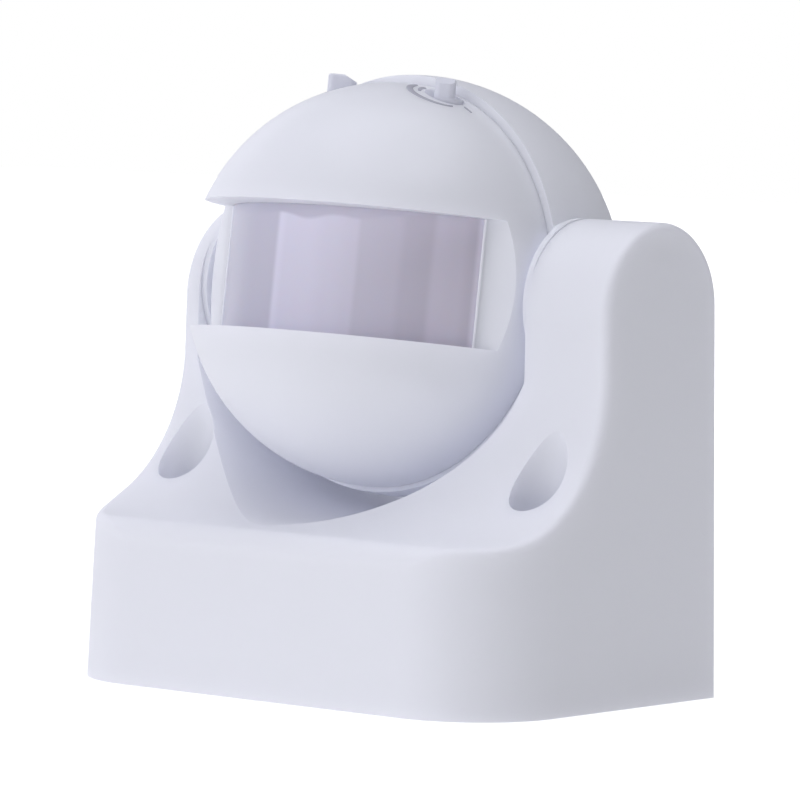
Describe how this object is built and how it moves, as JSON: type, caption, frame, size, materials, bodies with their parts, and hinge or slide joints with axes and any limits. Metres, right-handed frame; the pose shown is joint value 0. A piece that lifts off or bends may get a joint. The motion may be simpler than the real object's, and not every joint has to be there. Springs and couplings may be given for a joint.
{
  "type": "motion sensor",
  "caption": "Outdoor motion sensor: a round head with a wide lens band and adjuster knobs tilts between the arms of a wall-mounted base.",
  "frame": {"origin": "middle of the base's flat mounting face", "axes": "+Z out of the mounting face through the base towards the hinge; -Y is the way the lens looks; +X along the hinge line towards the duct arm"},
  "size_m": [0.0876, 0.0742, 0.0933],
  "materials": {
    "shell": "satin",
    "lens": "frosted",
    "knob": "satin",
    "seal": "matte",
    "steel": "satin",
    "brass": "satin",
    "terminal": "matte",
    "sheath": "matte",
    "core": "satin",
    "dark": "matte",
    "board": "satin",
    "can": "satin",
    "pane": "polished",
    "sensor": "polished",
    "lamp": "polished",
    "relay": "satin",
    "film": "satin",
    "resistor": "matte",
    "trimmer": "matte"
  },
  "bodies": {
    "base": {"base_housing": "shell", "base_plate": "shell", "plate_screws": "steel", "inlet_grommet": "seal", "terminal_block": "terminal", "terminal_cages": "brass", "terminal_screws": "steel", "cable_strap": "terminal", "strap_screws": "steel", "duct_lead": "sheath", "lead_cores": "core"},
    "head": {"front_shell": "shell", "rear_shell": "shell", "seam_seal": "seal", "fresnel_lens": "lens", "lens_retainer": "shell", "hinge_sleeve": "shell", "hinge_pin": "shell", "duct_side_washer": "shell", "wall_side_washer": "shell", "spring_washer": "steel", "hub_nut": "dark", "circuit_board": "board", "board_screw": "steel", "shell_screws": "steel", "detector_collar": "dark", "heat_detector": "can", "detector_pane": "pane", "light_cell": "sensor", "indicator_lamp": "lamp", "control_chip": "dark", "relay": "relay", "film_capacitor": "film", "bulk_capacitor": "dark", "diodes": "dark", "power_resistor": "resistor", "trimmers": "trimmer", "head_cores": "core"},
    "time_adjuster": {"time_knob": "knob"},
    "light_adjuster": {"light_knob": "knob"}
  },
  "joints": [
    {"name": "head_tilt", "type": "hinge", "parent": "base", "child": "head", "pos_m": [-0.0061, 0.0145, 0.0594], "axis": [-1, 0, 0], "range_deg": [-25, 85]},
    {"name": "time_turn", "type": "hinge", "parent": "head", "child": "time_adjuster", "pos_m": [0.0043, 0.00798, 0.08917], "axis": [0, 0.1271, 0.9919], "range_deg": [-135, 135]},
    {"name": "light_turn", "type": "hinge", "parent": "head", "child": "light_adjuster", "pos_m": [-0.0165, 0.00798, 0.08917], "axis": [0, 0.1271, 0.9919], "range_deg": [-135, 135]}
  ]
}
